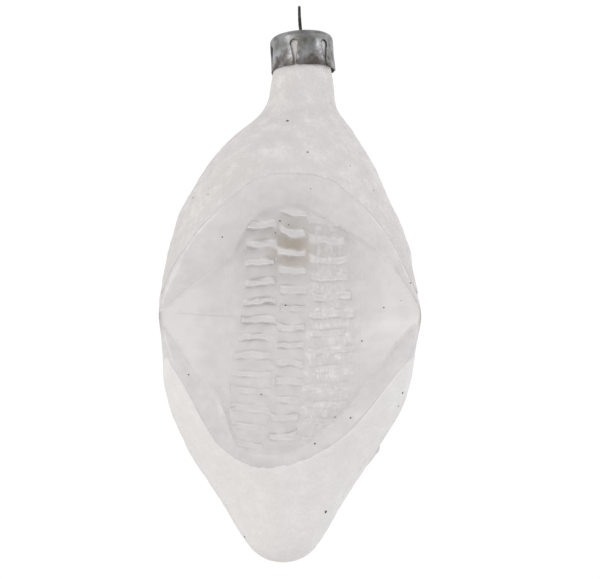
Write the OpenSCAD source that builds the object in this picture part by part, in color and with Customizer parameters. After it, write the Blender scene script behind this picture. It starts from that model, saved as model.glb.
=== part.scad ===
// A blown-glass spindle ornament with three pressed-in, ribbed reflectors, a frost coat on its
// crown and on its tip, a slotted metal cap, and a spring wire whose loop it hangs by.
// The origin is the inner top of the wire loop, where a hook bears. +Z is up and -Y is the front.

/* [Glass body] */
// Drop from the hanging point to the tip
tip_drop = 105.5; // [105:0.5:106]
// Distance from the neck's axis to the body's axis
neck_offset = 2.3; // [2.1:0.2:2.5]
// Thickness of the glass
wall = 0.7; // [0.6:0.1:0.7]
// Thickness of the frost coat
coat = 0.25; // [0.15:0.1:0.25]

/* [Reflectors] */
// Distance from the body's axis to the floor of a reflector
floor_r = 7.6; // [7.2:0.2:8]
// Radius of the dish that each reflector is pressed to
dish_r = 42; // [41.5:0.5:42.5]
// Drop from the hanging point to the middle of a reflector
dish_drop = 63.5; // [63:0.5:64]
// Number of cross ribs on each floor
rib_count = 13; // [11:2:13]
// Distance from one rib to the next
rib_pitch = 3.5; // [3.3:0.2:3.5]
// Length of a rib
rib_len = 20; // [18:2:20]

/* [Neck and cap] */
// Outer radius of the glass neck
neck_r = 5.5; // [5.4:0.1:5.5]
// Outer radius of the cap
cap_r = 6.2; // [6.2:0.05:6.5]
// Height of the cap
cap_h = 6.85; // [6.5:0.05:7.2]
// Thickness of the cap's metal
cap_wall = 0.3; // [0.2:0.05:0.3]
// Radius of the cap's rounded shoulder
cap_round = 1.4; // [1:0.1:1.5]
// Number of keyhole slots round the cap
slot_count = 6; // [4:1:8]
// Radius of the round head of a slot
slot_head_r = 0.8; // [0.6:0.05:1]

/* [Hanger wire] */
// Radius of the wire
wire_r = 0.275; // [0.2:0.025:0.3]
// Radius of the loop, to the middle of the wire
loop_r = 2.2; // [2:0.05:2.3]
// Angle that each leg is sprung outwards
splay = 11.6; // [10:0.1:11.6]
// Length of the straight part of a leg inside the neck
leg_len = 14; // [12:0.5:14]

/* [Hidden] */
$fn = 96;
slack = 0.01;

// Wire: every height is below the origin
waist_r = 0.9;
loop_z = wire_r - loop_r;
waist_turn = 45;
waist_y = (loop_r + waist_r) * cos(waist_turn);
waist_z = loop_z - (loop_r + waist_r) * sin(waist_turn);
leg_y = waist_y - waist_r;
bend_r = 1.5;
curl = 40;

// Cap: it hangs on the place where the legs start to splay
loop_travel = 1.5;
cap_top = waist_z - loop_travel - 0.03;
cap_under = cap_top - cap_wall;
cap_bottom = cap_top - cap_h;
splay_z = cap_under - 0.1;
wire_hole_r = wire_r + 0.175;
slot_first = -104.5;
slot_top = cap_top - 2.2;
slit_w = 0.45;
notch_w = 1.3;
notch_h = 0.7;

// Neck
rim_z = cap_under - 0.2;
rim_r = wall / 2;
neck_end = -22;
coat_top = cap_top - cap_round - 0.15;

// Body outline, as [radius, height] about the body's own axis. The radius at the ridges and the drop to
// their plane are fixed here, because at nearby values the outline's arcs and the dishes no longer give
// exact solids.
body_r = 27.6;
ridge_drop = 61.6;
shoulder_angle = 45;
shoulder = [13.3, -27];
crown_clip = -17.2;
ridge_round = 12;
ridge_c = [body_r - ridge_round, -ridge_drop];
knee = [20.4, -79];
tip_round = 7.2;
tip_c = [0, tip_round - tip_drop];
tip_edge = 41;

// Coats stop short of the ridge corners
coat_gap = 2;

// Reflectors
dish_c = [floor_r + dish_r, -dish_drop];
rib_r = 0.6;
sectors = [0, 120, 240];

// The point where a line from p touches the circle (c, r), leaving it on the side given by s
function touch(p, c, r, s) =
    let (d = c - p, a = atan2(d.y, d.x) + s * asin(r / norm(d)))
    p + sqrt(d * d - r * r) * [cos(a), sin(a)];

// The outward normal of an outline's edge that runs down from p to q
function normal(p, q) = [p.y - q.y, q.x - p.x] / norm(q - p);

// The corner p of edges with normals m and n, moved inwards so that both edges move by t
function moved(p, m, n, t) = p - t * (m + n) / (1 + m * n);

// The right half of a 2D shape
module right_half() {
    intersection() {
        children();
        translate([0, -150]) square([60, 150]);
    }
}

// Half outline of the round body before its reflectors are pressed, with its surface t inwards
module spindle_outline(t) {
    above = shoulder + [-sin(shoulder_angle), cos(shoulder_angle)];
    upper = touch(shoulder, ridge_c, ridge_round, 1);
    lower = touch(knee, ridge_c, ridge_round, -1);
    tip_dir = [cos(tip_edge), -sin(tip_edge)];
    edge = tip_c + tip_round * tip_dir;
    n_top = normal(above, shoulder);
    n_upper = normal(shoulder, upper);
    n_lower = normal(lower, knee);
    n_tip = normal(knee, edge);
    a = moved(shoulder, n_top, n_upper, t);
    b = moved(knee, n_lower, n_tip, t);
    start_r = a.x - (crown_clip - a.y) * tan(shoulder_angle);
    tip_t = tip_c + (tip_round - t) * tip_dir;
    polygon([
        [0, crown_clip],
        [start_r, crown_clip],
        a,
        touch(a, ridge_c, ridge_round - t, 1),
        touch(b, ridge_c, ridge_round - t, -1),
        b,
        tip_t,
        [0, tip_t.y],
    ]);
    translate(ridge_c) circle(ridge_round - t);
    right_half() translate(tip_c) circle(tip_round - t);
}

// The round body and the neck as one solid, with its surface t inwards and its neck ending at top
module spindle(t, top) {
    translate([-neck_offset, 0, 0]) rotate_extrude() spindle_outline(t);
    translate([0, 0, neck_end]) cylinder(r = neck_r - t, h = top - neck_end);
}

// Repeats its children once per reflector, facing outwards along +X of the body's own axis
module each_sector() {
    for (a = sectors) {
        translate([-neck_offset, 0, 0]) rotate([0, 0, a - 90]) children();
    }
}

// The three dishes that are pressed into the body, grown by t
module dishes(t) {
    each_sector() translate([dish_c.x, 0, dish_c.y]) sphere(dish_r + t);
}

// Cross ribs, which follow the curve of a dish's floor
module ribs() {
    half_angle = asin(rib_len / 2 / dish_r);
    each_sector() translate([dish_c.x, 0, dish_c.y]) {
        for (i = [0:rib_count - 1]) {
            h = (i - (rib_count - 1) / 2) * rib_pitch;
            rotate([0, 0, 180 - half_angle])
                rotate_extrude(angle = 2 * half_angle)
                    translate([sqrt(dish_r * dish_r - h * h), h]) circle(rib_r, $fn = 32);
        }
    }
}

// The hollow of the bulb, open at the neck
module cavity() {
    difference() {
        spindle(wall, rim_z + 1);
        dishes(wall);
    }
}

module glass_bulb() {
    color([0.82, 0.81, 0.80, 0.45]) difference() {
        union() {
            difference() {
                spindle(0, rim_z - rim_r);
                dishes(0);
            }
            translate([0, 0, rim_z - rim_r])
                rotate_extrude() translate([neck_r - rim_r, 0]) circle(rim_r, $fn = 32);
            ribs();
        }
        cavity();
    }
}

// A coat on the outside of the bulb, between two heights
module frost(low, high) {
    difference() {
        intersection() {
            spindle(-coat, coat_top);
            translate([-60, -60, low]) cube([120, 120, high - low]);
        }
        spindle(0, coat_top + 1);
        dishes(0);
    }
}

module frost_coat_crown() {
    color([0.90, 0.89, 0.88]) frost(coat_gap - ridge_drop, coat_top);
}

module frost_coat_tip() {
    color([0.93, 0.92, 0.91]) frost(-tip_drop - 5, -ridge_drop - coat_gap);
}

// Half outline of the cap's outer or inner face, t inside the outer one
module cap_outline(t, bottom) {
    r = cap_r - t;
    top = cap_top - t;
    c = cap_round - t;
    translate([0, bottom]) square([r, top - c - bottom]);
    translate([0, top - c - slack]) square([r - c, c + slack]);
    right_half() translate([r - c, top - c]) circle(c, $fn = 64);
}

// A keyhole that is open at the skirt's edge, seen from outside with +Y up
module keyhole() {
    translate([0, slot_top - slot_head_r]) circle(slot_head_r, $fn = 32);
    polygon([
        [-slot_head_r * 0.7, slot_top - slot_head_r],
        [slot_head_r * 0.7, slot_top - slot_head_r],
        [slit_w / 2, cap_bottom],
        [-slit_w / 2, cap_bottom],
    ]);
    polygon([
        [0, cap_bottom + notch_h],
        [notch_w / 2, cap_bottom - slack],
        [-notch_w / 2, cap_bottom - slack],
    ]);
}

module cap() {
    color([0.55, 0.55, 0.54]) difference() {
        rotate_extrude() cap_outline(0, cap_bottom);
        rotate_extrude() cap_outline(cap_wall, cap_bottom - 1);
        for (i = [0:slot_count - 1]) {
            rotate([0, 0, slot_first + i * 360 / slot_count])
                translate([cap_r - 1.5, 0, 0])
                    rotate([90, 0, 90]) linear_extrude(3) keyhole();
        }
        for (side = [-1, 1]) {
            translate([0, side * leg_y, cap_under - 1]) cylinder(r = wire_hole_r, h = cap_wall + 2, $fn = 32);
        }
    }
}

// A bend of the wire in the Y-Z plane: centre c, radius r, from one angle through a turn
module bend(c, r, from, turn) {
    translate([0, c.x, c.y]) rotate([90, 0, 90]) rotate([0, 0, from])
        rotate_extrude(angle = turn) translate([r, 0]) circle(wire_r, $fn = 32);
}

// A straight stretch of the wire that starts at p and runs down, leaning outwards by an angle
module stretch(p, lean, len) {
    translate([0, p.x, p.y]) rotate([lean, 0, 0]) translate([0, 0, -len]) cylinder(r = wire_r, h = len, $fn = 32);
}

// The half of the wire on the +Y side, with a bead over each seam between two of its stretches
module half_wire() {
    loop_end = [loop_r * cos(waist_turn), loop_z - loop_r * sin(waist_turn)];
    leg_start = [leg_y + bend_r * (1 - cos(splay)), splay_z - bend_r * sin(splay)];
    leg_end = leg_start + leg_len * [sin(splay), -cos(splay)];
    curl_c = leg_end - bend_r * [cos(splay), sin(splay)];
    bend([0, loop_z], loop_r, -waist_turn, 90 + waist_turn);
    bend([waist_y, waist_z], waist_r, 180 - waist_turn, waist_turn);
    stretch([leg_y, waist_z], 0, waist_z - splay_z);
    bend([leg_y + bend_r, splay_z], bend_r, 180, splay);
    stretch(leg_start, splay, leg_len);
    bend(curl_c, bend_r, splay - curl, curl);
    for (seam = [loop_end, [leg_y, waist_z], [leg_y, splay_z], leg_start, leg_end]) {
        translate([0, seam.x, seam.y]) sphere(wire_r + slack, $fn = 32);
    }
}

module hanger_wire() {
    color([0.45, 0.44, 0.42]) {
        half_wire();
        rotate([0, 0, 180]) half_wire();
    }
}

hanger_wire();
cap();
glass_bulb();
frost_coat_crown();
frost_coat_tip();
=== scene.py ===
import math

import bmesh
import bpy
import numpy as np
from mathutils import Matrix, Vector


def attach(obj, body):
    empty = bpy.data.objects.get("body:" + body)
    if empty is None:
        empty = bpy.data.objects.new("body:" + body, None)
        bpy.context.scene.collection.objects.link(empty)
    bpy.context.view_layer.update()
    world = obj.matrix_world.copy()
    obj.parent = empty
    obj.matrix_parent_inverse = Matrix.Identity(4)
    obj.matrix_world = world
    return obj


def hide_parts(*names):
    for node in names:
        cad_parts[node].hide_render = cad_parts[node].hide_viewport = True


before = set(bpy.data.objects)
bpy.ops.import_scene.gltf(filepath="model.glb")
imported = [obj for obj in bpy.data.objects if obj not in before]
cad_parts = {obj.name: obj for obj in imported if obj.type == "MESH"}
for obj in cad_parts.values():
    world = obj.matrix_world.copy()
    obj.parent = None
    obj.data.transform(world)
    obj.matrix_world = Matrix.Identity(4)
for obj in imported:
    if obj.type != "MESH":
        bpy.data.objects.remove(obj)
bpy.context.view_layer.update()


# Studio: a long-lens camera a little below the ornament, a white surround that is dimmer behind the
# camera and overhead, so that glass and metal have something to mirror, two soft boxes and a pale floor.
# The ornament hangs well clear of the floor.
MM = 0.001
AIM = np.array([-0.42, 0.0, -54.75])
CAMERA_DISTANCE = 400.0
CAMERA_RISE = math.radians(9.5)
LENS = 127.5
FLOOR_DROP = 700.0
FLOOR_SIZE = 12000.0
FLOOR_COLOUR = "#f9f8f7"
SURROUND_BRIGHT = 1.03
SURROUND_DIM = 0.72
SURROUND_TOP = 0.78


def linear(colour):
    """Linear RGBA of an sRGB hex colour: c / 12.92 below 0.04045, else ((c + 0.055) / 1.055) ^ 2.4."""
    parts = [int(colour[i:i + 2], 16) / 255 for i in (1, 3, 5)]
    return [c / 12.92 if c <= 0.04045 else ((c + 0.055) / 1.055) ** 2.4 for c in parts] + [1.0]


def add_node(tree, kind, links=None, values=None, **settings):
    """Adds one node, with its settings, its socket values, and its links from other nodes' sockets."""
    node = tree.nodes.new(kind)
    for name, setting in settings.items():
        setattr(node, name, setting)
    for name, value in (values or {}).items():
        node.inputs[name].default_value = value
    for name, source in (links or {}).items():
        tree.links.new(source, node.inputs[name])
    return node


def start_material(name):
    """An empty node material and its tree."""
    material = bpy.data.materials.new(name)
    material.use_nodes = True
    material.node_tree.nodes.clear()
    return material, material.node_tree


def ramp_stops(node, *stops):
    """Sets a colour ramp's stops, each a place and an sRGB hex colour."""
    elements = node.color_ramp.elements
    while len(elements) < len(stops):
        elements.new(0.5)
    for element, (place, colour) in zip(elements, stops):
        element.position = place
        element.color = linear(colour)


view = np.array([0.0, math.cos(CAMERA_RISE), math.sin(CAMERA_RISE)])
camera = bpy.data.objects.new("camera", bpy.data.cameras.new("camera"))
camera.data.lens = LENS
camera.data.sensor_width = 36
camera.data.clip_start = 0.01
camera.location = Vector((AIM - CAMERA_DISTANCE * view) * MM)
camera.rotation_euler = Vector(view).to_track_quat("-Z", "Y").to_euler()
bpy.context.scene.collection.objects.link(camera)
bpy.context.scene.camera = camera
bpy.context.scene.view_settings.view_transform = "Standard"

surround = bpy.data.worlds.new("white_surround")
surround.use_nodes = True
tree = surround.node_tree
tree.nodes.clear()
where = add_node(tree, "ShaderNodeTexCoord")
across = add_node(tree, "ShaderNodeSeparateXYZ", {"Vector": where.outputs["Generated"]})
front = add_node(tree, "ShaderNodeMapRange", {"Value": across.outputs["Y"]},
                 {"From Min": -0.75, "From Max": 0.35, "To Min": SURROUND_DIM, "To Max": SURROUND_BRIGHT},
                 interpolation_type="SMOOTHSTEP")
above = add_node(tree, "ShaderNodeMapRange", {"Value": across.outputs["Z"]},
                 {"From Min": 0.3, "From Max": 0.9, "To Min": 1.0, "To Max": SURROUND_TOP},
                 interpolation_type="SMOOTHSTEP")
level = add_node(tree, "ShaderNodeMath", {0: front.outputs[0], 1: above.outputs[0]}, operation="MULTIPLY")
glow = add_node(tree, "ShaderNodeBackground", {"Strength": level.outputs[0]}, {"Color": linear("#ffffff")})
add_node(tree, "ShaderNodeOutputWorld", {"Surface": glow.outputs[0]})
bpy.context.scene.world = surround


def soft_box(name, place, target, size, power, colour):
    """A square area light at place, facing target, both in millimetres."""
    lamp = bpy.data.objects.new(name, bpy.data.lights.new(name, "AREA"))
    lamp.data.shape = "RECTANGLE"
    lamp.data.size, lamp.data.size_y = size[0] * MM, size[1] * MM
    lamp.data.energy = power
    lamp.data.color = linear(colour)[:3]
    lamp.location = Vector(place) * MM
    lamp.rotation_euler = (Vector(target) - Vector(place)).to_track_quat("-Z", "Y").to_euler()
    bpy.context.scene.collection.objects.link(lamp)


soft_box("key_box", (-330, -420, 60), (0, 0, -60), (260, 260), 0.7, "#fffbf7")
soft_box("edge_box", (420, -160, 60), (0, 0, -60), (90, 300), 0.42, "#f6f7ff")

half = FLOOR_SIZE / 2 * MM
floor_mesh = bpy.data.meshes.new("floor")
corners = [(-half, -half), (half, -half), (half, half), (-half, half)]
floor_mesh.from_pydata([(x, y, -FLOOR_DROP * MM) for x, y in corners], [], [(0, 1, 2, 3)])
floor = bpy.data.objects.new("floor", floor_mesh)
bpy.context.scene.collection.objects.link(floor)
# Matt studio paper: an even pale tone with no pattern of its own
paper, tree = start_material("matt_studio_paper")
finish = add_node(tree, "ShaderNodeBsdfPrincipled", None,
                  {"Base Color": linear(FLOOR_COLOUR), "Roughness": 0.9, "Specular IOR Level": 0.2})
add_node(tree, "ShaderNodeOutputMaterial", {"Surface": finish.outputs[0]})
floor_mesh.materials.append(paper)


# Glass body: thin soda-lime glass, blown into a three-sided mould that presses a ribbed reflector
# into each side. The reflectors' corners meet on three ridges, and a plain neck is left at the top
# for the cap. Distances across and outwards are taken in each reflector's own turned frame.
WALL = 0.7
SIDES = 3
SIDE_TURN = 2 * math.pi / SIDES
RIDGE_Z = -61.8
TIP_Z = -105.5
NECK_RIM_Z = -6.15
NECK_END_Z = -20.0
# Height and radius of the blown outline, from inside the cap to the tip
OUTLINE = [(-2, 5.25), (-12.4, 5.25), (-13.4, 5.5), (-16.4, 5.85), (-19.2, 6.25), (-20.8, 7.0),
           (-22.7, 8.5), (-25.8, 11.5), (-28.9, 13.9), (-32, 16.0), (-35.1, 17.5), (-38.2, 19.0),
           (-41.5, 20.7), (-45.5, 22.3), (-49.2, 24.0), (-52.8, 25.2), (-56, 26.3), (-59, 27.15),
           (-61.8, 27.6), (-64.7, 27.1), (-67.7, 26.4), (-70.4, 25.5), (-73.1, 24.4), (-75.8, 23.2),
           (-78.5, 21.9), (-80.9, 20.3), (-83.8, 18.4), (-86.8, 16.2), (-89.7, 14.15), (-92.7, 12.15),
           (-95.6, 10.3), (-98.6, 8.6), (-101.4, 6.85), (-103, 5.7), (-104.5, 4.1), (-105.5, 0)]
# Height and sideways place of the centre line, which wanders as it does in hand-blown glass
CENTRE = [(-2, 0), (-17, 0), (-19.5, -0.3), (-22.7, -0.45), (-25.8, -1.5), (-28.9, -1.95), (-33, -2.3),
          (-38, -2.75), (-47, -2.75), (-55, -2.4), (-63, -2.2), (-70, -2.5), (-78, -2.7),
          (-84, -3.3), (-87, -3.7), (-93, -3.7), (-105.5, -3.55)]
# Distance across, from left to right, and height above or below the ridges' widest place, of a
# reflector's rim and of the pocket inside its bevel
RIM_UP = [(-23.25, 3.9), (-22.2, 6.7), (-21.1, 8.9), (-18.3, 12.3), (-15.7, 15.7), (-12.8, 18.3),
          (-9.4, 21.6), (-6.4, 24.0), (-2.5, 25.1), (2.5, 25.2), (6, 24.8), (8.8, 23.9), (13.3, 20.2),
          (16.6, 17.0), (19.5, 12.7), (22.3, 5.8), (23.25, 3.9)]
RIM_DOWN = [(-21.4, 8.5), (-19.6, 11.4), (-17.6, 14.8), (-15.6, 18.3), (-11.6, 23.6), (-6.7, 26.8),
            (-3.2, 27.7), (2, 27.0), (5.5, 25.6), (8.6, 23.8), (11.9, 21.1), (15.3, 16.6), (18.1, 12.7),
            (20.4, 9.6), (21.4, 8.5)]
POCKET_UP = [(-23.8, 0.5), (-22.8, 0.7), (-19.9, 3.1), (-15.2, 7.0), (-9.7, 11.5), (-8.2, 14.8), (-6.3, 17.4),
             (-4, 19.2), (0, 20), (3, 19.9), (7.8, 17.3), (15.2, 12.8), (18.5, 9.5), (22.7, 3), (23.8, 0.5)]
POCKET_DOWN = [(-23.8, 0.5), (-22.3, 1.6), (-17.5, 8.5), (-11.6, 16), (-10, 21), (-8.6, 23.6), (-5, 25.4),
               (0, 25.4), (4, 23.6), (9.1, 18.9), (14.2, 12.6), (19.3, 4.8), (22, 1.6), (23.8, 0.5)]
FLOOR_OUT = 8.1
POCKET_MID_Z = -63.0
POCKET_EDGE = 16.0
CORNER_LIFT = 0.045
# Slopes of the pocket's facets across, above and below its middle, and its bowl's widths squared
SLOPE_ACROSS, SLOPE_ABOVE, SLOPE_BELOW = 0.125, 0.135, 0.105
BOWL_ACROSS, BOWL_ABOVE, BOWL_BELOW = 210, 152, 210
# How far the pocket's floor rises at its upper and lower ends, and over what distance
UPPER_RISE, UPPER_REACH = 1.1, 1.8
LOWER_RISE, LOWER_REACH = 1.6, 2.6
LADDER_LEFT, LADDER_RIGHT = -9.4, 11.0
SEAM_LEFT, SEAM_RIGHT = -2.2, 3.4
RIB_PITCH = 3.45
RIB_HEIGHT = 0.45
LIP = 0.22
RIB_HALF_WIDTH = 0.75
# Blisters in the glass: place across, height, radius and swell
BUBBLES = [(-4.3, -45.2, 1.15, 0.8), (0.9, -57.4, 0.6, 0.25), (4.9, -43.9, 0.7, 0.35)]
MIST_COLOUR = "#e4e1e1"
# Painted highlight colour for the ribs' edges and the crinkles
RIB_HIGHLIGHT_COLOUR = "#fbfaf8"
DUST_COLOUR = "#4a4844"
# Painted shade colour for a thin line at each rib's foot
RIB_FOOT_SHADE_COLOUR = "#b4afab"
# Painted shade colour, tinted brown, for the upper grooves and the left crease
GROOVE_SHADE_COLOUR = "#c2b5a3"


def soft_line(stations, at, softness):
    """A polyline through stations, averaged with a bell curve of that width, read at the given places."""
    place, value = np.array(sorted(stations), float).T
    step = softness / 8
    fine = np.arange(place[0] - 4 * softness, place[-1] + 4 * softness, step)
    line = np.interp(fine, place, value)
    low, high = fine < place[0], fine > place[-1]
    line[low] = value[0] + (fine[low] - place[0]) * (value[1] - value[0]) / (place[1] - place[0])
    line[high] = value[-1] + (fine[high] - place[-1]) * (value[-1] - value[-2]) / (place[-1] - place[-2])
    bell = np.exp(-0.5 * (np.arange(-24, 25) / 8) ** 2)
    return np.interp(at, fine, np.convolve(np.pad(line, 24, "edge"), bell / bell.sum(), "valid"))


def radius_at(z):
    """Outline radius: the root of the softened line through the squared radii, so that the tip is round."""
    squared = [(height, radius ** 2) for height, radius in OUTLINE]
    return np.sqrt(np.maximum(soft_line(squared, z, 0.9), 0))


def centre_at(z):
    """Sideways place of the centre line at a height."""
    return soft_line(CENTRE, z, 1.2)


RIDGE_R = float(radius_at(np.array([RIDGE_Z]))[0])
HALF_SPAN = RIDGE_R * math.sin(SIDE_TURN / 2)


def ripple(points, size, seed, waves=20):
    """A sum of sine waves in random directions, each about size millimetres long, between -1 and 1."""
    chance = np.random.default_rng(seed)
    aim = chance.normal(size=(waves, 3))
    length = size * chance.uniform(0.7, 1.5, (waves, 1))
    aim *= 2 * math.pi / (length * np.linalg.norm(aim, axis=1, keepdims=True))
    phase = chance.uniform(0, 2 * math.pi, waves)
    total = np.zeros(points.shape[:-1])
    for k in range(waves):
        total += np.sin(points @ aim[k] + phase[k])
    return np.clip(total / math.sqrt(waves) / 1.6, -1, 1)


def step_up(value, low, high):
    """0 below low, 1 above high, and 3 t^2 - 2 t^3 between them."""
    t = np.clip((value - low) / (high - low), 0, 1)
    return t * t * (3 - 2 * t)


def pocket_out(x, z):
    """Distance outwards of the plain pocket: four soft facets that meet at its middle, half as steep as they
    would be flat, plus a shallow bowl, and a lift that meets the ridges outside the pocket's corners."""
    rise = z - POCKET_MID_Z
    side = np.sqrt(x ** 2 + 16) - 4
    up = np.sqrt(rise ** 2 + 0.8) - 0.9
    facets = SLOPE_ACROSS * side + np.where(rise > 0, SLOPE_ABOVE, SLOPE_BELOW) * up
    bowl = x ** 2 / BOWL_ACROSS + rise ** 2 / np.where(rise > 0, BOWL_ABOVE, BOWL_BELOW)
    return FLOOR_OUT + facets + bowl + CORNER_LIFT * np.maximum(np.abs(x) - POCKET_EDGE, 0)


def ladder_relief(x, z):
    """Height of the pressed relief, distance from the nearest rib's middle, how strongly that rib is
    pressed, and how crinkled the glass is. Cross ribs with flat tops stand in three columns whose seams
    drift sideways downwards. Each column has its own start, and its ribs droop outwards above the middle,
    rise below it, curl at the seam and end unevenly. A rib's height falls off as
    1 / (1 + (distance / half width) ^ 5). The right column is crinkled, and the walls have a crease on
    the left and right and faint ripples."""
    low = (POCKET_MID_Z - z) / 22
    drift = -0.7 * np.clip(low, -1, 1) - 0.2
    place = np.stack([x, z, 0 * x], -1)
    wobble = ripple(place, 8.0, 3)
    shake = ripple(place, 2.2, 4)
    patches = np.clip(0.85 + 1.3 * ripple(place, 2.6, 7), 0.05, 1.8) * (0.55 + 0.45 * step_up(z, -73, -56))
    relief, near, here = np.zeros_like(x), np.full_like(x, RIB_PITCH / 2), np.zeros_like(x)
    seams = [LADDER_LEFT, SEAM_LEFT, SEAM_RIGHT, LADDER_RIGHT]
    for k, start in enumerate([0.62, 0.06, 0.36]):
        left, right = seams[k] + drift, seams[k + 1] + drift
        curl_end = np.exp(-((x - (right if k == 0 else left)) / 0.8) ** 2)
        curl = (0.3 if k == 0 else -0.2) * curl_end
        droop = np.where(low < 0, 0.2, 0.07) * np.abs(x + 0.5 + drift) * low * np.exp(-((x - left) / 14) ** 2)
        line = (z - droop + curl + 0.3 * wobble + 0.2 * shake - POCKET_MID_Z) / RIB_PITCH + start
        count = np.round(line)
        chance = np.sin(count * 12.9 + k * 4.1)
        left = left + (1.1 * chance if k == 0 else 0)
        right = right + (1.5 * chance if k == 2 else 0)
        inside = step_up(x, left - 0.1, left + 0.5) * (1 - step_up(x, right - 0.5, right + 0.1))
        away = np.abs(line - count) * RIB_PITCH
        width = RIB_HALF_WIDTH * (1 + 0.15 * chance)
        rib = 1 / (1 + (away / width) ** 5)
        strength = inside * (1 + 0.35 * chance) * (1 - 0.62 * (k == 2))
        relief += strength * RIB_HEIGHT * rib * (0.6 + 0.4 * patches)
        near = np.where(inside > 0.5, away, near)
        here = np.maximum(here, strength * patches)
    rows_end = (1 - step_up(z, -43.3, -42.2)) * step_up(z, -86.8, -85.6)
    crinkled = step_up(x, SEAM_RIGHT + drift, SEAM_RIGHT + drift + 1.5) * (1 - step_up(x, 9.0, 13))
    crinkle = ripple(place * np.array([1.0, 0.5, 1]), 1.6, 5, 26) + 0.6 * ripple(place, 3.2, 6)
    ladder = step_up(x, LADDER_LEFT - 5, LADDER_LEFT + 1)
    ladder = ladder * (1 - step_up(x, LADDER_RIGHT - 1, LADDER_RIGHT + 5))
    wall = (1 - ladder) * (1 - step_up(np.abs(x), 19.5, 22))
    crease = -0.4 * np.exp(-((z - RIDGE_Z + 0.03 * x) / 0.35) ** 2) * step_up(np.abs(x), 9, 12)
    faint = 0.035 * np.sin(2 * math.pi * (z + 0.06 * np.abs(x) * low) / 2.9) + 0.08 * wobble
    relief = relief * rows_end + crinkled * rows_end * 0.12 * crinkle + wall * (crease + faint)
    relief += 0.03 * ladder * ripple(place, 1.5, 8)
    for across, height, size, swell in BUBBLES:
        bubble = 1 - ((x - across) ** 2 + (z - height) ** 2) / size ** 2
        relief = np.maximum(relief, swell * np.sqrt(np.maximum(bubble, 0)))
    return relief, near, here * rows_end, crinkled * rows_end


def side_columns(wall_count, ladder_count):
    """Places of the grid's columns across one reflector, from -1 at its left ridge, closer on the ladder."""
    left, right = (LADDER_LEFT - 1.4) / HALF_SPAN, (LADDER_RIGHT + 1.2) / HALF_SPAN
    walls = 1 - (1 - np.linspace(0, 1, wall_count, endpoint=False)) ** 1.15
    ladder = np.linspace(left, right, ladder_count, endpoint=False)
    return np.concatenate([-1 + (left + 1) * walls, ladder, 1 - (1 - right) * (1 - np.linspace(
        0, 1, wall_count, endpoint=False)) ** 1.15])


def rim_points(u, stations, sign):
    """Across, outwards and height of a reflector's rim, which lies on the outline and ends on its ridges."""
    span = float(radius_at(np.array([RIDGE_Z + sign * stations[0][1]]))[0]) * math.sin(SIDE_TURN / 2)
    z = RIDGE_Z + sign * soft_line(stations, span * u, 0.8)
    radius = radius_at(z)
    x = np.clip(span * u, -radius * math.sin(SIDE_TURN / 2), radius * math.sin(SIDE_TURN / 2))
    return x, np.sqrt(radius ** 2 - x ** 2), z


def ring_points(radius, angle, z):
    """Points of the body at that radius, angle from a reflector's middle, and height, for all three sides.
    The angle grows anticlockwise seen from above, and the front reflector faces -Y."""
    turned = np.concatenate([angle + k * SIDE_TURN for k in range(SIDES)], axis=-1)
    radius = np.concatenate([radius] * SIDES, axis=-1)
    z = np.concatenate([z] * SIDES, axis=-1)
    return np.stack([centre_at(z) + radius * np.sin(turned), -radius * np.cos(turned), z], -1)


def turned_rows(radius, angle, z, thickness):
    """Rows of a turned surface, moved inwards by thickness along the outline's own normal."""
    slope = (radius_at(z + 0.05) - radius_at(z - 0.05)) / 0.1
    length = np.sqrt(1 + slope ** 2)
    return ring_points(np.maximum(radius - thickness / length, 0.01), angle, z + thickness * slope / length)


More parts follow.
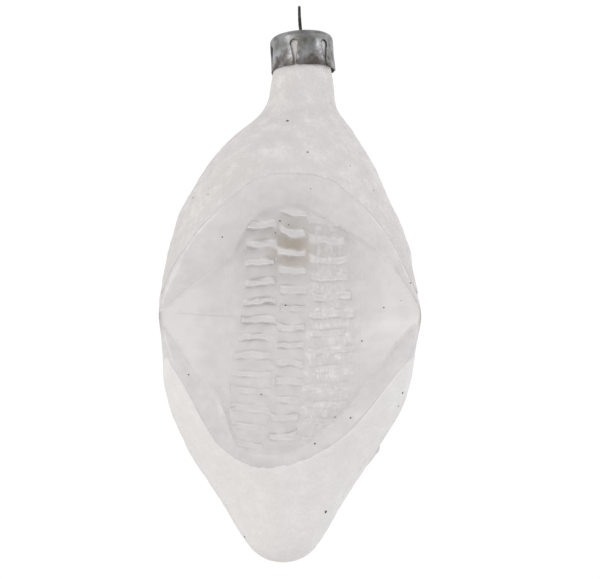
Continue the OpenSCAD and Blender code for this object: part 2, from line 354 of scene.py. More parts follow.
def body_rows(u, crown, bevel, pocket, foot, tip, thickness):
    """All rows of the body's outer face (thickness 0, with relief) or inner face, from the neck's end down:
    the crown, a reflector's upper bevel, its pocket, its lower bevel, and the lower body down to the tip."""
    top_x, top_out, top_z = rim_points(u, RIM_UP, 1)
    low_x, low_out, low_z = rim_points(u, RIM_DOWN, -1)
    top_angle, low_angle = np.arctan2(top_x, top_out), np.arctan2(low_x, low_out)
    top_angle[0] = low_angle[0] = -SIDE_TURN / 2

    t = np.linspace(0, 1, crown, endpoint=False)[:, None]
    z = NECK_END_Z + (top_z - NECK_END_Z) * t
    rows = [turned_rows(radius_at(z), top_angle + 0 * z, z, thickness)]

    high = RIDGE_Z + np.minimum(soft_line(POCKET_UP, HALF_SPAN * u, 0.7), top_z - RIDGE_Z - 0.4)
    deep = RIDGE_Z - np.minimum(soft_line(POCKET_DOWN, HALF_SPAN * u, 0.7), RIDGE_Z - low_z - 0.4)
    z = high + (deep - high) * np.linspace(0, 1, pocket)[:, None]
    x = HALF_SPAN * u + 0 * z
    inner = 1 - step_up(np.abs(x), 12, 21)
    end_rise = (UPPER_RISE * np.exp(-(high - z) / UPPER_REACH)
                + LOWER_RISE * np.exp(-(z - deep) / LOWER_REACH))
    out = pocket_out(x, z) + inner * end_rise
    flat_x, flat_out, flat_z = x, out, z
    if thickness == 0:
        out = out + ladder_relief(x, z)[0] + LIP * np.exp(-(high - z) / 0.5) * step_up(x, 3, 8)
    t = np.linspace(0, 1, bevel, endpoint=False)[:, None]
    swell = 0.35 * np.sin(math.pi * t)
    upper = [top_x + (flat_x[:1] - top_x) * t, top_out + (flat_out[:1] - top_out) * t + swell,
             top_z + (flat_z[:1] - top_z) * t]
    t = np.linspace(0, 1, foot + 1)[1:, None]
    swell = 0.3 * np.sin(math.pi * t)
    lower = [flat_x[-1:] + (low_x - flat_x[-1:]) * t, flat_out[-1:] + (low_out - flat_out[-1:]) * t + swell,
             flat_z[-1:] + (low_z - flat_z[-1:]) * t]
    x = np.concatenate([upper[0], x, lower[0]])
    out = np.concatenate([upper[1], out, lower[1]])
    z = np.concatenate([upper[2], z, lower[2]])
    radius, angle = np.hypot(x, out), np.arctan2(x, out)
    radius[:, 0] = radius_at(z[:, 0])
    angle[:, 0] = -SIDE_TURN / 2
    if thickness > 0:
        # Moved towards the axis by thickness over the cosine between that way and the face's normal
        face = np.stack([radius * np.sin(angle), radius * np.cos(angle), z], -1)
        normal = np.cross(np.gradient(face, axis=0), np.gradient(face, axis=1))
        normal /= np.maximum(np.linalg.norm(normal, axis=-1, keepdims=True), 1e-9)
        straight = np.abs(normal[..., 0] * np.sin(angle) + normal[..., 1] * np.cos(angle))
        radius = radius - thickness / np.maximum(straight, 0.14)
    rows.append(ring_points(radius, angle, z))

    t = np.linspace(0, 1, tip, endpoint=False)[1:, None]
    z = TIP_Z + (low_z - TIP_Z) * (1 - t) ** 1.75
    rows.append(turned_rows(radius_at(z), low_angle + 0 * z, z, thickness))
    return rows


def skin(name, rings, start_pole=None, end_pole=None, joined=False):
    """A closed mesh over rings of points, each ring closed on itself. Rows go down where the face looks out.
    Poles close its ends, or joined ties its last ring to its first."""
    rows, columns = rings.shape[:2]
    points = rings.reshape(-1, 3)
    i, j = np.meshgrid(np.arange(rows if joined else rows - 1), np.arange(columns), indexing="ij")
    below, beside = (i + 1) % rows, (j + 1) % columns
    quads = np.stack([i * columns + j, below * columns + j,
                      below * columns + beside, i * columns + beside], -1)
    faces = quads.reshape(-1, 4).tolist()
    j = np.arange(columns)
    if start_pole is not None:
        points = np.vstack([points, start_pole])
        pole = np.full(columns, len(points) - 1)
        faces += np.stack([pole, j, (j + 1) % columns], -1).tolist()
    if end_pole is not None:
        points = np.vstack([points, end_pole])
        pole = np.full(columns, len(points) - 1)
        last = (rows - 1) * columns
        faces += np.stack([last + j, pole, last + (j + 1) % columns], -1).tolist()
    mesh = bpy.data.meshes.new(name)
    mesh.from_pydata((points * MM).tolist(), [], faces)
    mesh.polygons.foreach_set("use_smooth", np.ones(len(mesh.polygons), bool))
    mesh.update()
    piece = bpy.data.objects.new(name, mesh)
    bpy.context.scene.collection.objects.link(piece)
    return piece


def paint(piece, name, values):
    """Stores one number per vertex on a piece, for its material to read."""
    attribute = piece.data.attributes.new(name, "FLOAT", "POINT")
    attribute.data.foreach_set("value", np.ascontiguousarray(values, np.float32).ravel())


columns = side_columns(14, 48)
crown_rows, bevel_rows, pocket_rows, foot_rows, tip_rows = 24, 9, 208, 7, 34
top_x, top_out, top_z = rim_points(columns, RIM_UP, 1)
neck_angle = np.arctan2(top_x, top_out)
neck_angle[0] = -SIDE_TURN / 2
outside = body_rows(columns, crown_rows, bevel_rows, pocket_rows, foot_rows, tip_rows, 0)
inside = body_rows(columns, 9, 3, 62, 2, 14, WALL)

neck_z = np.linspace(NECK_RIM_Z - 0.35, NECK_END_Z, 14, endpoint=False)[:, None] + 0 * neck_angle
neck_outside = turned_rows(radius_at(neck_z), neck_angle + 0 * neck_z, neck_z, 0)
neck_inside = turned_rows(radius_at(neck_z), neck_angle + 0 * neck_z, neck_z, WALL)
t = np.linspace(0, math.pi, 8)[1:-1, None]
rim_r = float(radius_at(neck_z[0, :1])[0]) - WALL / 2 - 0.35 * np.cos(t) + 0 * neck_angle
rim_turn = ring_points(rim_r, neck_angle + 0 * rim_r, NECK_RIM_Z - 0.35 + 0.35 * np.sin(t) + 0 * neck_angle)
body_rings = np.concatenate([np.concatenate(inside)[::-1], neck_inside[::-1], rim_turn, neck_outside,
                             np.concatenate(outside)])
tip_x = float(centre_at(np.array([TIP_Z]))[0])
glass = skin("blown_glass_body", body_rings, [tip_x, 0, TIP_Z + WALL], [tip_x, 0, TIP_Z])

# What the finish reads at each point of a pocket: how clear the glass is, how far the nearest rib's middle
# is and how strongly it is pressed, where the glass is crinkled, and painted shade, tinted brown, in the
# upper grooves and along the left crease
pocket_start = len(body_rings) - sum(len(rows) for rows in outside) + crown_rows + bevel_rows
pocket = slice(pocket_start, pocket_start + pocket_rows)
across = np.tile(HALF_SPAN * columns, SIDES)
height = body_rings[pocket, :, 2]
across = across + 0 * height
_, near, here, crinkled = ladder_relief(across, height)
on_ladder = step_up(across, -11.5, -8.5) * (1 - step_up(across, 10.5, 13.5))
grooves = step_up(near, 0.5, 1.1)
# Painted shade: a thin dark line along the crease on the left
crease_shade = (0.3 * np.exp(-((height - RIDGE_Z + 0.03 * across) / 0.16) ** 2)
               * step_up(-across, 8, 11) * (1 - step_up(-across, 19, 22)))
CLEAR_Z, CLEAR_SPAN = -48.0, 5.5
# Height and spread of the painted shade in the upper middle grooves
GROOVE_SHADE_Z, GROOVE_SHADE_SPAN = -49.0, 3.6
upper = np.exp(-((height - CLEAR_Z) / CLEAR_SPAN) ** 2)
not_corner = 1 - step_up(np.abs(across), 14, 19)
middle = np.exp(-((across - 0.6) / 3.6) ** 2)
shares = {
    "clear": (0.09 + 0.03 * on_ladder + grooves * upper * on_ladder * (0.08 + 0.1 * middle)) * not_corner,
    "rib_far": near,
    "rib_here": here,
    "crinkled": crinkled,
    # Painted shade, tinted brown: the upper middle grooves and the left crease
    "painted_groove_shade": np.maximum(0.85 * grooves * np.exp(-((height - GROOVE_SHADE_Z) / GROOVE_SHADE_SPAN) ** 2) * middle,
                        crease_shade),
}
# Away from the pockets the glass is evenly misted and has no ribs
elsewhere = {"clear": 0.1, "rib_far": RIB_PITCH / 2}
for name, values in shares.items():
    everywhere = np.full(body_rings.shape[:2], elsewhere.get(name, 0.0))
    everywhere[pocket] = values
    paint(glass, name, np.append(everywhere.ravel(), everywhere[[0, -1], 0]))

# Blown soda-lime glass with a milky mist of old lacquer: pearly where it is misted, clearer in the upper
# ladder, glossy all over. The ribs' two edges and the crinkles are less see-through and are painted paler, a
# painted highlight, so they show as fine paired pale lines.
milky_glass, tree = start_material("misted_soda_lime_glass")
where = add_node(tree, "ShaderNodeTexCoord")
read = {name: add_node(tree, "ShaderNodeAttribute", attribute_name=name).outputs["Fac"] for name in shares}
# Mist falls in patches about 2 mm across
mist = add_node(tree, "ShaderNodeTexNoise", {"Vector": where.outputs["Object"]},
                {"Scale": 450.0, "Detail": 3.0, "Roughness": 0.6})
rib_line = add_node(tree, "ShaderNodeValToRGB", {"Fac": read["rib_far"]})
rib_line.color_ramp.interpolation = "B_SPLINE"
ramp_stops(rib_line, (0.26, "#000000"), (0.4, "#f0f0f0"), (0.46, "#f0f0f0"), (0.58, "#000000"))
# Painted shade: a thin darker line painted along the foot of each rib
rib_foot = add_node(tree, "ShaderNodeValToRGB", {"Fac": read["rib_far"]})
rib_foot.color_ramp.interpolation = "B_SPLINE"
ramp_stops(rib_foot, (0.55, "#000000"), (0.72, "#ffffff"), (0.8, "#ffffff"), (1.0, "#000000"))
footed = add_node(tree, "ShaderNodeMath", {0: rib_foot.outputs["Color"], 1: read["rib_here"]},
                  operation="MULTIPLY", use_clamp=True)
foot_shade_share = add_node(tree, "ShaderNodeMath", {0: footed.outputs[0]}, {1: 0.55}, operation="MULTIPLY")
pressed = add_node(tree, "ShaderNodeMath", {0: rib_line.outputs["Color"], 1: read["rib_here"]},
                   operation="MULTIPLY")
# Crinkles run mostly down the ladder's right column, about 0.8 mm apart; they are painted pale as highlights
# along with the ribs' edges
narrow = add_node(tree, "ShaderNodeMapping", {"Vector": where.outputs["Object"]}, {"Scale": (1.0, 1.0, 0.45)})
crinkle = add_node(tree, "ShaderNodeTexNoise", {"Vector": narrow.outputs[0]},
                   {"Scale": 1500.0, "Detail": 3.0, "Roughness": 0.55, "Distortion": 0.4})
sharp = add_node(tree, "ShaderNodeMapRange", {"Value": crinkle.outputs["Fac"]},
                 {"From Min": 0.5, "From Max": 0.74, "To Min": 0.0, "To Max": 0.5})
folds = add_node(tree, "ShaderNodeMath", {0: sharp.outputs[0], 1: read["crinkled"]}, operation="MULTIPLY")
lines = add_node(tree, "ShaderNodeMath", {0: pressed.outputs[0], 1: folds.outputs[0]}, operation="MAXIMUM")
patchy = add_node(tree, "ShaderNodeMapRange", {"Value": mist.outputs["Fac"]},
                  {"From Min": 0.3, "From Max": 0.7, "To Min": -0.05, "To Max": 0.05})
clearer = add_node(tree, "ShaderNodeMath", {0: read["clear"], 1: patchy.outputs[0]}, operation="ADD")
through = add_node(tree, "ShaderNodeMapRange", {"Value": lines.outputs[0], "To Min": clearer.outputs[0]},
                   {"From Min": 0.0, "From Max": 1.0, "To Max": 0.0})
# Painted highlight: rib edges and crinkles are painted towards a near-white colour
rib_highlight_tint = add_node(tree, "ShaderNodeMix", {0: lines.outputs[0]},
                {6: linear(MIST_COLOUR), 7: linear(RIB_HIGHLIGHT_COLOUR)}, data_type="RGBA")
shaded = add_node(tree, "ShaderNodeMix", {0: foot_shade_share.outputs[0], 6: rib_highlight_tint.outputs[2]},
                  {7: linear(RIB_FOOT_SHADE_COLOUR)}, data_type="RGBA")
# Painted shade, tinted brown, in the upper grooves and along the left crease
groove_shaded = add_node(tree, "ShaderNodeMix", {0: read["painted_groove_shade"], 6: shaded.outputs[2]},
                   {7: linear(GROOVE_SHADE_COLOUR)}, data_type="RGBA")
# Old dust: dark specks about 0.25 mm wide and some 6 mm apart
dust = add_node(tree, "ShaderNodeTexVoronoi", {"Vector": where.outputs["Object"]}, {"Scale": 260.0})
speck = add_node(tree, "ShaderNodeMapRange", {"Value": dust.outputs["Distance"]},
                 {"From Min": 0.03, "From Max": 0.055, "To Min": 1.0, "To Max": 0.0})
dusted = add_node(tree, "ShaderNodeMix", {0: speck.outputs[0], 6: groove_shaded.outputs[2]},
                  {7: linear(DUST_COLOUR)}, data_type="RGBA")
gloss = add_node(tree, "ShaderNodeMapRange", {"Value": read["clear"]},
                 {"From Min": 0.07, "From Max": 0.15, "To Min": 0.34, "To Max": 0.1})
bumps = add_node(tree, "ShaderNodeMath", {0: mist.outputs["Fac"], 2: lines.outputs[0]}, {1: 0.25},
                 operation="MULTIPLY_ADD")
uneven = add_node(tree, "ShaderNodeBump", {"Height": bumps.outputs[0]}, {"Strength": 0.8, "Distance": 0.0002})
finish = add_node(tree, "ShaderNodeBsdfPrincipled",
                  {"Base Color": dusted.outputs[2], "Roughness": gloss.outputs[0],
                   "Transmission Weight": through.outputs[0], "Normal": uneven.outputs[0]},
                  {"IOR": 1.5, "Specular IOR Level": 0.5})
add_node(tree, "ShaderNodeOutputMaterial", {"Surface": finish.outputs[0]})
glass.data.materials.append(milky_glass)
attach(glass, "bulb")
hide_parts("glass_bulb")


# Frost coats: fine white grains dusted into wet clear lacquer on the crown and on the lower body.
# Each is a thin lumpy crust bonded to the glass, and its edge follows the reflectors' rims.
COAT = 0.25
COAT_BED = 0.12
COAT_TOP_Z = -7.2
LUMP = 0.05
COAT_EDGE_GAP = 0.12
FROST_COLOUR = "#e7e4e3"
# Painted light: the tip's frost is painted this share nearer to white, for the light it catches from below
TIP_PAINTED_LIGHT = 0.5
FROST_SHADE = "#dad6d5"
FROST_DARK = "#d4d0cf"
# The near-white that the painted light leans towards
PAINTED_LIGHT_FROST_COLOUR = "#f8f7f6"
SPECK_COLOUR = "#3a3835"


def coat_frame(count, stations, sign):
    """Even angles across one side with the height of the reflector's rim at each of them."""
    u = np.linspace(-1, 1, 1201)
    x, out, z = rim_points(u, stations, sign)
    angle = np.linspace(-SIDE_TURN / 2, SIDE_TURN / 2, count, endpoint=False)
    found = np.arctan2(x, out)
    found[0], found[-1] = -SIDE_TURN / 2, SIDE_TURN / 2
    return angle, np.interp(angle, found, z)


def crust(z, angle, thickness):
    """Rows of the coat's face, thickness outside the glass, with lumps about 1 to 2 mm across."""
    face = turned_rows(radius_at(z), angle + 0 * z, z, -thickness)
    if np.max(thickness) <= 0:
        return face
    lumps = ripple(face, 1.3, 21, 30) + 0.8 * ripple(face, 3.1, 22) + 0.45 * ripple(face, 0.8, 23, 30)
    axis = np.stack([centre_at(face[..., 2]), 0 * face[..., 2], face[..., 2]], -1)
    away = face - axis
    away /= np.maximum(np.linalg.norm(away, axis=-1, keepdims=True), 0.5)
    share = np.tile(thickness + 0 * z, (1, SIDES)) / COAT
    return face + away * (LUMP * lumps * share)[..., None]


def frost_material(name, painted_light):
    """White grains in lacquer: matt and chalky, softly mottled, with rare glints and dark specks. The last
    argument is the share by which the colour is painted nearer to pure white, as painted light for a part
    that catches more light."""
    material, tree = start_material(name)
    where = add_node(tree, "ShaderNodeTexCoord")
    # Grains are about 0.15 mm, and are drawn 0.35 mm wide so that they show
    grain = add_node(tree, "ShaderNodeTexNoise", {"Vector": where.outputs["Object"]},
                     {"Scale": 2600.0, "Detail": 2.0, "Roughness": 0.6})
    # The lacquer took the grains unevenly, in patches 2 to 5 mm across
    patch = add_node(tree, "ShaderNodeTexNoise", {"Vector": where.outputs["Object"]},
                     {"Scale": 330.0, "Detail": 4.0, "Roughness": 0.62})
    mixed = add_node(tree, "ShaderNodeMath", {0: patch.outputs["Fac"]}, {1: 0.7}, operation="MULTIPLY")
    both = add_node(tree, "ShaderNodeMath", {0: grain.outputs["Fac"], 2: mixed.outputs[0]}, {1: 0.3},
                    operation="MULTIPLY_ADD")
    tone = add_node(tree, "ShaderNodeValToRGB", {"Fac": both.outputs[0]})
    ramp_stops(tone, (0.3, FROST_DARK), (0.5, FROST_SHADE), (0.66, FROST_COLOUR))
    # Dark specks of old dust, about 0.3 mm wide and some 8 mm apart
    dust = add_node(tree, "ShaderNodeTexVoronoi", {"Vector": where.outputs["Object"]}, {"Scale": 210.0})
    near = add_node(tree, "ShaderNodeMapRange", {"Value": dust.outputs["Distance"]},
                    {"From Min": 0.045, "From Max": 0.075, "To Min": 1.0, "To Max": 0.0})
    # Painted light: the tone is moved towards near-white by the painted-light share
    lightened_tone = add_node(tree, "ShaderNodeMix", {6: tone.outputs["Color"]},
                       {0: painted_light, 7: linear(PAINTED_LIGHT_FROST_COLOUR)}, data_type="RGBA")
    specked = add_node(tree, "ShaderNodeMix", {0: near.outputs[0], 6: lightened_tone.outputs[2]},
                       {7: linear(SPECK_COLOUR)}, data_type="RGBA")
    sparkle = add_node(tree, "ShaderNodeTexVoronoi", {"Vector": where.outputs["Object"]}, {"Scale": 2300.0})
    facet = add_node(tree, "ShaderNodeSeparateColor", {"Color": sparkle.outputs["Color"]})
    gloss = add_node(tree, "ShaderNodeMapRange", {"Value": facet.outputs[0]},
                     {"From Min": 0.9, "From Max": 0.97, "To Min": 0.78, "To Max": 0.22})
    rough = add_node(tree, "ShaderNodeBump", {"Height": both.outputs[0]},
                     {"Strength": 0.55, "Distance": 0.0003})
    finish = add_node(tree, "ShaderNodeBsdfPrincipled",
                      {"Base Color": specked.outputs[2], "Roughness": gloss.outputs[0],
                       "Normal": rough.outputs[0]},
                      {"IOR": 1.5, "Specular IOR Level": 0.5})
    add_node(tree, "ShaderNodeOutputMaterial", {"Surface": finish.outputs[0]})
    return material


def edge_taper(distance):
    """Share of the coat's thickness at a distance from its edge: it rounds off over the last 0.7 mm."""
    return 0.35 + 0.65 * np.sqrt(np.clip(distance / 0.7, 0, 1))


angle, rim_z = coat_frame(120, RIM_UP, 1)
ragged = 0.1 * np.sin(angle * 31) + 0.06 * np.sin(angle * 77 + 1)
edge_z = rim_z + COAT_EDGE_GAP + ragged * (1 - (angle / (SIDE_TURN / 2)) ** 2)
t = np.linspace(0, 1, 112)[:, None]
z = COAT_TOP_Z + (edge_z - COAT_TOP_Z) * t
crown_face = crust(z, angle, COAT * edge_taper(z - edge_z) * edge_taper(COAT_TOP_Z - z))
t = np.linspace(1, 0, 30)[:, None]
crown_bed = crust(COAT_TOP_Z + (edge_z - COAT_TOP_Z) * t, angle, -COAT_BED)
crown_frost = skin("frost_on_crown", np.concatenate([crown_face, crown_bed]), joined=True)
crown_frost.data.materials.append(frost_material("white_frost_grains_in_lacquer", 0.0))
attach(crown_frost, "bulb")
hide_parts("frost_coat_crown")

angle, rim_z = coat_frame(120, RIM_DOWN, -1)
ragged = 0.1 * np.sin(angle * 29 + 2) + 0.06 * np.sin(angle * 71)
edge_z = rim_z - COAT_EDGE_GAP + ragged * (1 - (angle / (SIDE_TURN / 2)) ** 2)
t = np.linspace(0, 1, 104, endpoint=False)[:, None]
z = TIP_Z + (edge_z - TIP_Z) * (1 - t) ** 1.6
tip_face = crust(z, angle, COAT * edge_taper(edge_z - z))
t = np.linspace(0, 1, 28, endpoint=False)[:, None]
tip_bed = crust(TIP_Z + (edge_z - TIP_Z) * (1 - t) ** 1.6, angle, -COAT_BED)[::-1]
tip_frost = skin("frost_on_tip", np.concatenate([tip_bed, tip_face]),
                 [tip_x, 0, TIP_Z + COAT_BED], [tip_x, 0, TIP_Z - COAT])
# The tip's frost is painted lighter, as painted light for the light it catches from below
tip_frost.data.materials.append(frost_material("white_frost_grains_painted_lighter", TIP_PAINTED_LIGHT))
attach(tip_frost, "bulb")
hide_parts("frost_coat_tip")


# Cap: thin aluminium pressed into a round lid, its skirt cut by six keyhole slots into petals that
# grip the neck. It is dented and tarnished, and sits a little tilted with its wire.
CAP_R = 6.05
CAP_METAL = 0.22
CAP_TOP_Z = -5.647
CAP_BOTTOM_Z = -12.497
CAP_ROUND = 1.1
PETALS = 6
SLOT_FIRST = math.radians(-104.5)
SLOT_TOP_Z = -7.55
SLOT_HEAD_R = 0.8
SLIT_HALF = 0.13
NOTCH_HALF = 0.3
NOTCH_HEIGHT = 0.45
WIRE_HOLE_R = 0.45
LEG_Y = 1.292
TILT = math.radians(3.6)
TILT_CENTRE = np.array([0.0, 0.0, -9.2])
ALUMINIUM_LIGHT = "#abacaf"
ALUMINIUM_DARK = "#71706c"
TARNISH_COLOUR = "#4b4038"


def tilted(points):
    """Points turned about the Y direction through the cap's middle, so that the top leans to the left."""
    x, z = points[..., 0] - TILT_CENTRE[0], points[..., 2] - TILT_CENTRE[2]
    return np.stack([TILT_CENTRE[0] + x * math.cos(TILT) - z * math.sin(TILT), points[..., 1],
                     TILT_CENTRE[2] + x * math.sin(TILT) + z * math.cos(TILT)], -1)


head_z = SLOT_TOP_Z - SLOT_HEAD_R
turn = np.linspace(0, math.radians(125), 15)
slot_z = np.concatenate([head_z + SLOT_HEAD_R * np.cos(turn),
                         np.linspace(head_z - 0.75, CAP_BOTTOM_Z + NOTCH_HEIGHT, 12),
                         np.linspace(CAP_BOTTOM_Z + NOTCH_HEIGHT, CAP_BOTTOM_Z, 6)[1:]])
slit = np.linspace(SLOT_HEAD_R * math.sin(turn[-1]), SLIT_HALF, 13)[1:]
notch = SLIT_HALF + (NOTCH_HALF - SLIT_HALF) * np.linspace(0, 1, 6)[1:] ** 1.5
slot_half = np.concatenate([SLOT_HEAD_R * np.sin(turn), slit, notch])
corner = np.linspace(math.pi / 2, 0, 9)[1:]
lid_r = np.concatenate([np.linspace(0.35, CAP_R - CAP_ROUND, 12),
                        CAP_R - CAP_ROUND + CAP_ROUND * np.cos(corner)])
lid_z = np.concatenate([np.full(12, CAP_TOP_Z), CAP_TOP_Z - CAP_ROUND + CAP_ROUND * np.sin(corner)])
skirt_z = np.linspace(CAP_TOP_Z - CAP_ROUND, SLOT_TOP_Z, 4)[1:-1]
cap_r = np.concatenate([lid_r, np.full(len(skirt_z) + len(slot_z), CAP_R)])
cap_z = np.concatenate([lid_z, skirt_z, slot_z])
cap_half = np.concatenate([np.zeros(len(lid_r) + len(skirt_z)), slot_half])
gap = cap_half / cap_r
share = np.linspace(0, 1, 23)
petal = 2 * math.pi / PETALS
angles = np.concatenate([SLOT_FIRST + k * petal + gap[:, None] + (petal - 2 * gap[:, None]) * share
                         for k in range(PETALS)], axis=1)
sheet_r, sheet_z = cap_r[:, None] + 0 * angles, cap_z[:, None] + 0 * angles
down = np.clip((CAP_TOP_Z - CAP_ROUND - sheet_z) / (CAP_TOP_Z - CAP_ROUND - CAP_BOTTOM_Z), 0, 1)
sheet = np.stack([sheet_r * np.cos(angles), sheet_r * np.sin(angles), sheet_z], -1)
dents = 0.08 * ripple(sheet, 5.0, 31) + 0.035 * ripple(sheet, 2.0, 32)
crown_dome = 0.25 * (1 - np.minimum(sheet_r / (CAP_R - CAP_ROUND), 1) ** 2)
petal_place = ((angles - SLOT_FIRST) / petal) % 1
flare = down ** 3 * (0.06 + 0.07 * np.cos(2 * math.pi * petal_place) + 0.03 * np.sin(5 * angles))
sheet_r = sheet_r + (dents * (0.25 + down) + flare) * np.minimum(sheet_r / CAP_R, 1)
sheet_z = sheet_z + 0.12 * down ** 4 * np.sin(angles * 2 + 0.6) + 0.04 * dents + crown_dome
sheet = tilted(np.stack([sheet_r * np.cos(angles), sheet_r * np.sin(angles), sheet_z], -1))
rows, count = sheet.shape[:2]
lid_centre = tilted(np.array([[0.0, 0.0, CAP_TOP_Z]]))
i, j = np.meshgrid(np.arange(rows - 1), np.arange(count), indexing="ij")
beside = (j + 1) % count
in_petal = j % len(share) != len(share) - 1
quads = np.stack([i * count + j, (i + 1) * count + j, (i + 1) * count + beside, i * count + beside], -1)
quads = quads[in_petal]
fan = np.stack([np.full(count, rows * count), np.arange(count), (np.arange(count) + 1) % count], -1)
fan = fan[np.arange(count) % len(share) != len(share) - 1]
cap_mesh = bpy.data.meshes.new("pressed_cap")
cap_mesh.from_pydata((np.vstack([sheet.reshape(-1, 3), lid_centre]) * MM).tolist(), [],
                     quads.tolist() + fan.tolist())
cap = bpy.data.objects.new("pressed_cap", cap_mesh)
bpy.context.scene.collection.objects.link(cap)

work = bmesh.new()
work.from_mesh(cap_mesh)
bmesh.ops.remove_doubles(work, verts=work.verts, dist=0.004 * MM)
work.to_mesh(cap_mesh)
work.free()
cap_mesh.polygons.foreach_set("use_smooth", np.ones(len(cap_mesh.polygons), bool))
metal = cap.modifiers.new("metal", "SOLIDIFY")
metal.thickness = CAP_METAL * MM
metal.offset = -1
metal.use_even_offset = True

cutters = []
for side in (-1, 1):
    t = np.linspace(0, 2 * math.pi, 32, endpoint=False)
    ring = np.stack([WIRE_HOLE_R * np.cos(t), side * LEG_Y + WIRE_HOLE_R * np.sin(t), 0 * t], -1)
    tube = tilted(np.stack([ring + [0, 0, CAP_TOP_Z + 1], ring + [0, 0, CAP_TOP_Z - 1.5]]))
    ends = tilted(np.array([[0, side * LEG_Y, CAP_TOP_Z + 1], [0, side * LEG_Y, CAP_TOP_Z - 1.5]]))
    cutter = skin("hole_cutter", tube, ends[0], ends[1])
    cutters.append(cutter)
    hole = cap.modifiers.new("hole", "BOOLEAN")
    hole.object = cutter
    hole.solver = "EXACT"
bpy.context.view_layer.update()
finished = bpy.data.meshes.new_from_object(cap.evaluated_get(bpy.context.evaluated_depsgraph_get()))
cap.modifiers.clear()
cap.data = finished
for cutter in cutters:
    bpy.data.objects.remove(cutter)

# Pressed aluminium: a dull grey mirror with rubbed lighter patches and brown tarnish low on the skirt
aluminium, tree = start_material("pressed_tarnished_aluminium")
where = add_node(tree, "ShaderNodeTexCoord")
# Handling has rubbed patches about 3 mm across
rubbed = add_node(tree, "ShaderNodeTexNoise", {"Vector": where.outputs["Object"]},
                  {"Scale": 320.0, "Detail": 4.0, "Roughness": 0.55})
tone = add_node(tree, "ShaderNodeValToRGB", {"Fac": rubbed.outputs["Fac"]})
ramp_stops(tone, (0.36, ALUMINIUM_DARK), (0.64, ALUMINIUM_LIGHT))
spots = add_node(tree, "ShaderNodeTexNoise", {"Vector": where.outputs["Object"]},
                 {"Scale": 430.0, "Detail": 5.0, "Roughness": 0.65})
height = add_node(tree, "ShaderNodeSeparateXYZ", {"Vector": where.outputs["Object"]})
low = add_node(tree, "ShaderNodeMapRange", {"Value": height.outputs["Z"]},
               {"From Min": CAP_BOTTOM_Z * MM, "From Max": CAP_TOP_Z * MM, "To Min": 0.24, "To Max": -0.1})
worn = add_node(tree, "ShaderNodeMath", {0: spots.outputs["Fac"], 1: low.outputs[0]}, operation="ADD")
tarnish = add_node(tree, "ShaderNodeMapRange", {"Value": worn.outputs[0]},
                   {"From Min": 0.6, "From Max": 0.8, "To Min": 0.0, "To Max": 0.85})
metal_tone = add_node(tree, "ShaderNodeMix", {0: tarnish.outputs[0], 6: tone.outputs["Color"]},
                      {7: linear(TARNISH_COLOUR)}, data_type="RGBA")
gloss = add_node(tree, "ShaderNodeMapRange", {"Value": spots.outputs["Fac"]},
                 {"From Min": 0.35, "From Max": 0.7, "To Min": 0.3, "To Max": 0.5})
bright = add_node(tree, "ShaderNodeMapRange", {"Value": tarnish.outputs[0]},
                  {"From Min": 0.0, "From Max": 1.0, "To Min": 1.0, "To Max": 0.55})
dinged = add_node(tree, "ShaderNodeBump", {"Height": rubbed.outputs["Fac"]},
                  {"Strength": 0.3, "Distance": 0.0005})
finish = add_node(tree, "ShaderNodeBsdfPrincipled",
                  {"Base Color": metal_tone.outputs[2], "Roughness": gloss.outputs[0],
                   "Metallic": bright.outputs[0], "Normal": dinged.outputs[0]})
add_node(tree, "ShaderNodeOutputMaterial", {"Surface": finish.outputs[0]})
cap.data.materials.append(aluminium)
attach(cap, "cap")
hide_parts("cap")


# Hanger: one length of spring-steel wire, bent to a round loop, nipped at the waist, and passed
# through the cap so that its two legs spring outwards and hold inside the neck.
WIRE_R = 0.275
LOOP_R = 2.2
LOOP_Z = WIRE_R - LOOP_R
WAIST_R = 0.9
WAIST_TURN = math.radians(45)
SPLAY_Z = -6.047
SPLAY = math.radians(11.6)
BEND_R = 1.5
LEG = 14.0
CURL = math.radians(40)
STEEL_COLOUR = "#5b5854"
STEEL_DARK = "#3f3c39"


def arc(centre, radius, start, turn, count):
    """Points of an arc in the Y-Z plane: centre + radius (cos a, sin a), with a from start through turn."""
    a = start + turn * np.linspace(0, 1, count)
    return np.stack([centre[0] + radius * np.cos(a), centre[1] + radius * np.sin(a)], -1)


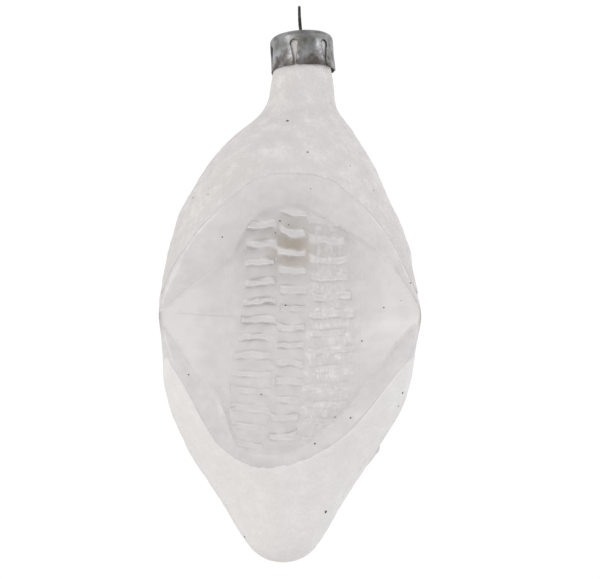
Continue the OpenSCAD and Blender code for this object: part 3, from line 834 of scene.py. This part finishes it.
waist_y = (LOOP_R + WAIST_R) * math.cos(WAIST_TURN)
waist_z = LOOP_Z - (LOOP_R + WAIST_R) * math.sin(WAIST_TURN)
leg_start = np.array([LEG_Y + BEND_R * (1 - math.cos(SPLAY)), SPLAY_Z - BEND_R * math.sin(SPLAY)])
leg_end = leg_start + LEG * np.array([math.sin(SPLAY), -math.cos(SPLAY)])
curl_centre = leg_end - BEND_R * np.array([math.cos(SPLAY), math.sin(SPLAY)])
half_path = np.concatenate([
    arc((0, LOOP_Z), LOOP_R, math.pi / 2, -math.pi / 2 - WAIST_TURN, 40),
    arc((waist_y, waist_z), WAIST_R, math.pi - WAIST_TURN, WAIST_TURN, 12)[1:],
    np.linspace([LEG_Y, waist_z], [LEG_Y, SPLAY_Z], 8)[1:],
    arc((LEG_Y + BEND_R, SPLAY_Z), BEND_R, math.pi, SPLAY, 6)[1:],
    np.linspace(leg_start, leg_end, 24)[1:],
    arc(curl_centre, BEND_R, SPLAY, -CURL, 12)[1:],
])
path = np.concatenate([half_path[::-1] * [-1, 1], half_path[1:]])
run = np.gradient(path, axis=0)
run /= np.linalg.norm(run, axis=1, keepdims=True)
t = np.linspace(0, 2 * math.pi, 20, endpoint=False)
sideways, flatwise = np.cos(t)[None, :], np.sin(t)[None, :]
along = np.arange(len(path))[:, None]
drift = 0.05 * np.sin(path[:, 1] * 0.9 + 0.4)[:, None]
thick = WIRE_R * (1 + 0.02 * np.sin(along * 0.7))
wire_rings = np.stack([drift + thick * sideways, path[:, :1] - run[:, 1:] * thick * flatwise,
                       path[:, 1:] + run[:, :1] * thick * flatwise], -1)
cut = np.stack([np.zeros(2), path[[0, -1], 0], path[[0, -1], 1]], -1)
wire = skin("hanger_spring_wire", tilted(wire_rings), tilted(cut)[0], tilted(cut)[1])
work = bmesh.new()
work.from_mesh(wire.data)
bmesh.ops.recalc_face_normals(work, faces=work.faces)
work.to_mesh(wire.data)
work.free()

# Drawn spring steel: dark, softly glossy, with faint dull patches of age
steel, tree = start_material("drawn_spring_steel")
where = add_node(tree, "ShaderNodeTexCoord")
aged = add_node(tree, "ShaderNodeTexNoise", {"Vector": where.outputs["Object"]},
                {"Scale": 900.0, "Detail": 4.0, "Roughness": 0.6})
tone = add_node(tree, "ShaderNodeValToRGB", {"Fac": aged.outputs["Fac"]})
ramp_stops(tone, (0.35, STEEL_DARK), (0.65, STEEL_COLOUR))
gloss = add_node(tree, "ShaderNodeMapRange", {"Value": aged.outputs["Fac"]},
                 {"From Min": 0.3, "From Max": 0.7, "To Min": 0.55, "To Max": 0.36})
finish = add_node(tree, "ShaderNodeBsdfPrincipled",
                  {"Base Color": tone.outputs["Color"], "Roughness": gloss.outputs[0]}, {"Metallic": 1.0})
add_node(tree, "ShaderNodeOutputMaterial", {"Surface": finish.outputs[0]})
wire.data.materials.append(steel)
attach(wire, "hanger")
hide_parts("hanger_wire")
